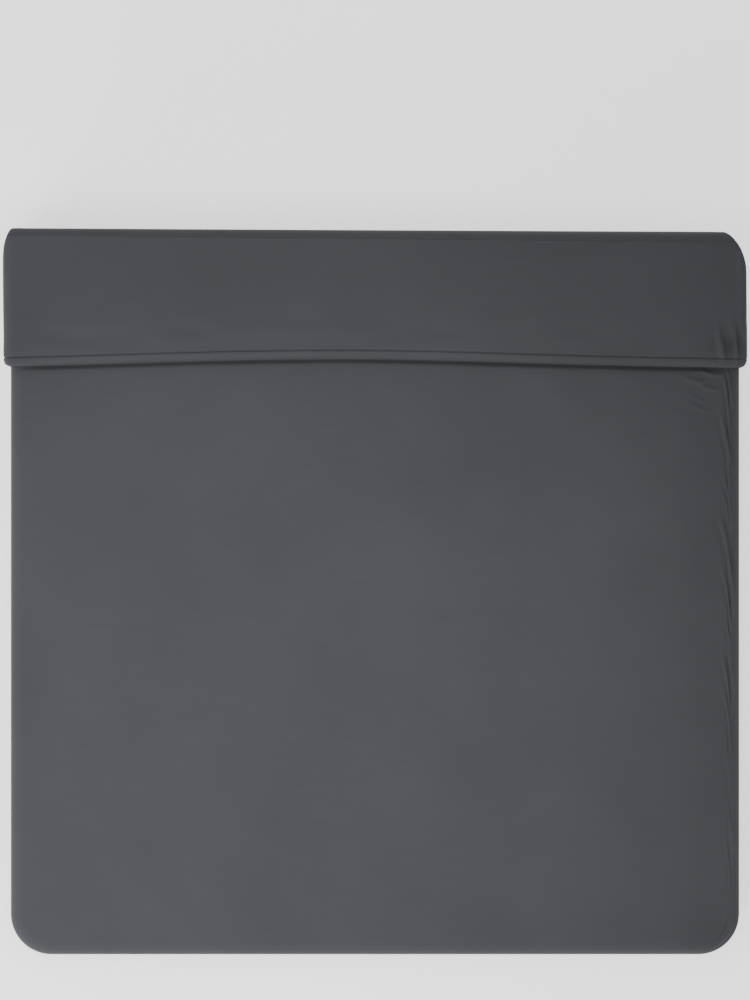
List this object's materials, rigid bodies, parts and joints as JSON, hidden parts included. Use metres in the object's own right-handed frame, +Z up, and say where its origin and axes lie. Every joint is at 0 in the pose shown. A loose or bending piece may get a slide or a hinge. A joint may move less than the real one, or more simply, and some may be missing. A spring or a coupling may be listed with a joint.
{
  "type": "duvet on a bed",
  "caption": "Filled duvet in a plain cover, laid over the sides and foot of a double bed, head end turned down, foot opening closed by press studs.",
  "frame": {"origin": "centre of the mattress top, on the flat face that rests on it", "axes": "+X across the bed to the right, +Y to the head, +Z up; the drops hang below Z = 0"},
  "size_m": [1.689, 1.6534, 0.4315],
  "materials": {
    "cover_cotton": "matte plain-weave cotton, charcoal",
    "casing_cotton": "matte close-woven cotton, white",
    "filling": "loose fibre wadding, white",
    "label_tape": "satin tape, white, blank",
    "press_stud": "satin grey plastic"
  },
  "bodies": {
    "laid_duvet": {"cover_face_laid": "cover_cotton", "cover_underside_laid": "cover_cotton", "casing_upper_laid": "casing_cotton", "casing_lower_laid": "casing_cotton", "fill_top": "filling", "fill_left_drop": "filling", "fill_right_drop": "filling", "fill_foot_drop": "filling", "fill_foot_corners": "filling", "baffles_laid": "casing_cotton", "binding_laid": "casing_cotton", "side_seams_laid": "cover_cotton", "foot_seam_ends": "cover_cotton", "inner_hem_band": "cover_cotton", "stud_posts": "press_stud", "stud_post_rings": "press_stud", "duvet_loops": "casing_cotton", "cover_ties": "cover_cotton", "care_label": "label_tape", "head_fold_underside": "cover_cotton", "head_fold_fill": "filling", "side_fold_rolls": "cover_cotton"},
    "turn_down": {"cover_face_turned": "cover_cotton", "cover_underside_turned": "cover_cotton", "casing_upper_turned": "casing_cotton", "casing_lower_turned": "casing_cotton", "fill_turned": "filling", "baffles_turned": "casing_cotton", "binding_turned": "casing_cotton", "head_seam": "cover_cotton", "edge_roll_left": "cover_cotton", "edge_roll_right": "cover_cotton"},
    "turned_drop_left": {"drop_face_left": "cover_cotton", "drop_underside_left": "cover_cotton", "drop_casing_left": "casing_cotton", "drop_fill_left": "filling", "drop_seam_left": "cover_cotton"},
    "turned_drop_right": {"drop_face_right": "cover_cotton", "drop_underside_right": "cover_cotton", "drop_casing_right": "casing_cotton", "drop_fill_right": "filling", "drop_seam_right": "cover_cotton"},
    "closure_flap": {"closure_flap_band": "cover_cotton", "stud_sockets": "press_stud", "stud_caps": "press_stud"}
  },
  "joints": [
    {"name": "turn_down_fold", "type": "hinge", "parent": "laid_duvet", "child": "turn_down", "pos_m": [0, 0.597, 0.02825], "axis": [-1, 0, 0], "range_deg": [0, 180], "deforming": ["head_fold_underside", "head_fold_fill", "side_fold_rolls"]},
    {"name": "turned_drop_left_fold", "type": "hinge", "parent": "turn_down", "child": "turned_drop_left", "pos_m": [-0.82225, 0.4565, 0.0434], "axis": [0, 1, 0], "range_deg": [0, 180], "deforming": ["edge_roll_left"]},
    {"name": "turned_drop_right_fold", "type": "hinge", "parent": "turn_down", "child": "turned_drop_right", "pos_m": [0.82225, 0.4565, 0.0434], "axis": [0, -1, 0], "range_deg": [0, 180], "deforming": ["edge_roll_right"]},
    {"name": "closure_flap_lift", "type": "hinge", "parent": "laid_duvet", "child": "closure_flap", "pos_m": [0, -1.019, -0.176], "axis": [-1, 0, 0], "range_deg": [0, 35]}
  ],
  "couplings": [
    {"joint": "turned_drop_left_fold", "follows": "turn_down_fold", "ratio": 1},
    {"joint": "turned_drop_right_fold", "follows": "turn_down_fold", "ratio": 1}
  ]
}
